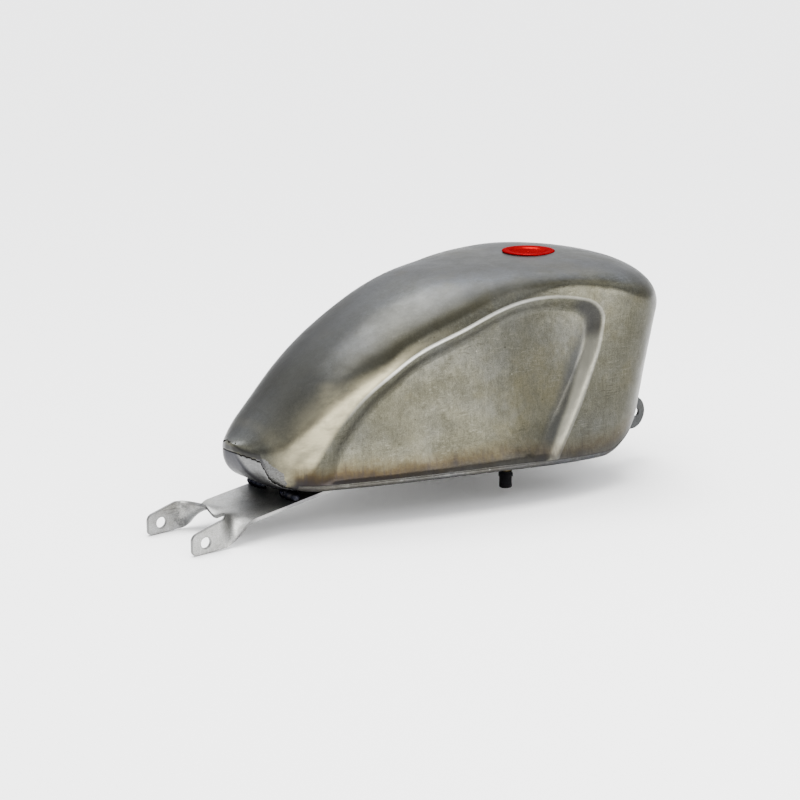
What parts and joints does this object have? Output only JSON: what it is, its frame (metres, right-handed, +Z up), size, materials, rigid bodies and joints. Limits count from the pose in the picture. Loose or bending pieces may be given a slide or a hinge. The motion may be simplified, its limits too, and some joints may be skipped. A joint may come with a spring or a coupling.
{
  "type": "motorcycle fuel tank",
  "caption": "Teardrop pressed-steel motorcycle fuel tank with dished sides, frame tunnel, forked rear bracket, front bolt tabs, filler plug and capped fuel outlet.",
  "frame": {"origin": "on the axis of the rear bolt holes, midway between the two fork ears", "axes": "+X towards the front of the tank, +Y to its left side, +Z up"},
  "size_m": [0.5725, 0.2486, 0.2321],
  "materials": {
    "raw_steel": "bare mill finish, satin, stained and scratched",
    "ground_steel": "ground bright",
    "pan_steel": "bare, heat tinted at the edges",
    "weld_steel": "as welded, blued",
    "inner_steel": "bare",
    "neck_steel": "turned",
    "bracket_steel": "bare plate, satin",
    "tab_steel": "bare plate, matte",
    "plug_plastic": "glossy moulded",
    "outlet_brass": "turned",
    "cap_rubber": "matte moulded"
  },
  "bodies": {
    "tank": {"left_shell": "raw_steel", "right_shell": "raw_steel", "crown_seam_weld": "weld_steel", "left_bottom_pan": "pan_steel", "right_bottom_pan": "pan_steel", "left_seam_weld": "weld_steel", "right_seam_weld": "weld_steel", "tail_plate": "ground_steel", "tunnel_channel": "pan_steel", "slosh_baffle": "inner_steel", "filler_neck": "neck_steel", "outlet_bung": "neck_steel", "outlet_spigot": "outlet_brass", "rear_bracket": "bracket_steel", "left_bracket_weld": "weld_steel", "right_bracket_weld": "weld_steel", "strap_pad_weld": "weld_steel", "left_front_tab": "tab_steel", "right_front_tab": "tab_steel", "left_tab_weld": "weld_steel", "right_tab_weld": "weld_steel"},
    "plug": {"filler_plug": "plug_plastic"},
    "cap": {"outlet_cap": "cap_rubber"}
  },
  "joints": [
    {"name": "plug_pull", "type": "slide", "parent": "tank", "child": "plug", "axis": [0, 0, 1], "range_m": [0, 0.035]},
    {"name": "cap_pull", "type": "slide", "parent": "tank", "child": "cap", "axis": [0, 0, -1], "range_m": [0, 0.018]}
  ]
}
